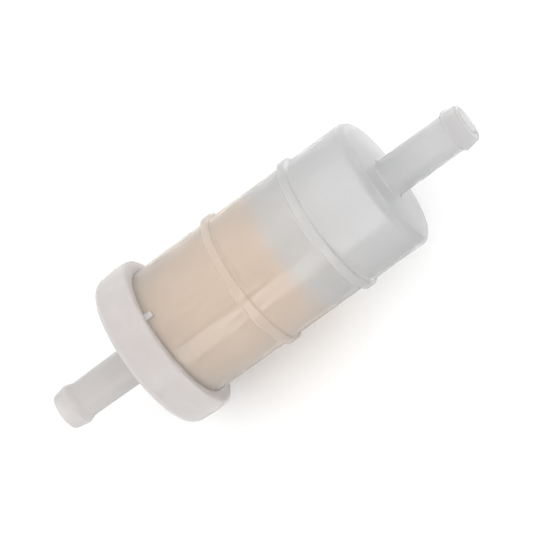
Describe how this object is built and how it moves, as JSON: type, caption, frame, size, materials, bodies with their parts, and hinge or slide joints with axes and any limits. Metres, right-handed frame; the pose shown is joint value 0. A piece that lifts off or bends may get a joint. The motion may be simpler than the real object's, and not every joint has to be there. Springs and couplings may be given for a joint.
{
  "type": "in-line fuel filter",
  "caption": "Welded in-line fuel filter: frosted nylon canister and cap with barbed hose nipples around a pleated paper element.",
  "frame": {"origin": "on the filter's axis, halfway between the tips of the two nipples", "axes": "+X along the filter's axis, from the cap's nipple towards the canister's nipple; +Z through the small moulded tab on the cap's rim"},
  "size_m": [0.106, 0.0364, 0.0364],
  "materials": {
    "canister_nylon": "frosted translucent nylon",
    "cap_nylon": "satin white nylon",
    "weld_nylon": "melted nylon",
    "disc_plastic": "cream moulded plastic",
    "glue": "cured resin",
    "filter_paper": "resin-treated pleated paper",
    "tube_metal": "tinned steel",
    "seal_rubber": "fuel-proof rubber"
  },
  "bodies": {
    "root": {"filter_body": "canister_nylon", "end_cap": "cap_nylon", "weld_bead": "weld_nylon", "open_end_disc": "disc_plastic", "closed_end_disc": "disc_plastic", "open_end_glue": "glue", "closed_end_glue": "glue", "filter_paper": "filter_paper", "paper_seam": "glue", "core_tube": "tube_metal", "seal_ring": "seal_rubber"}
  },
  "joints": []
}
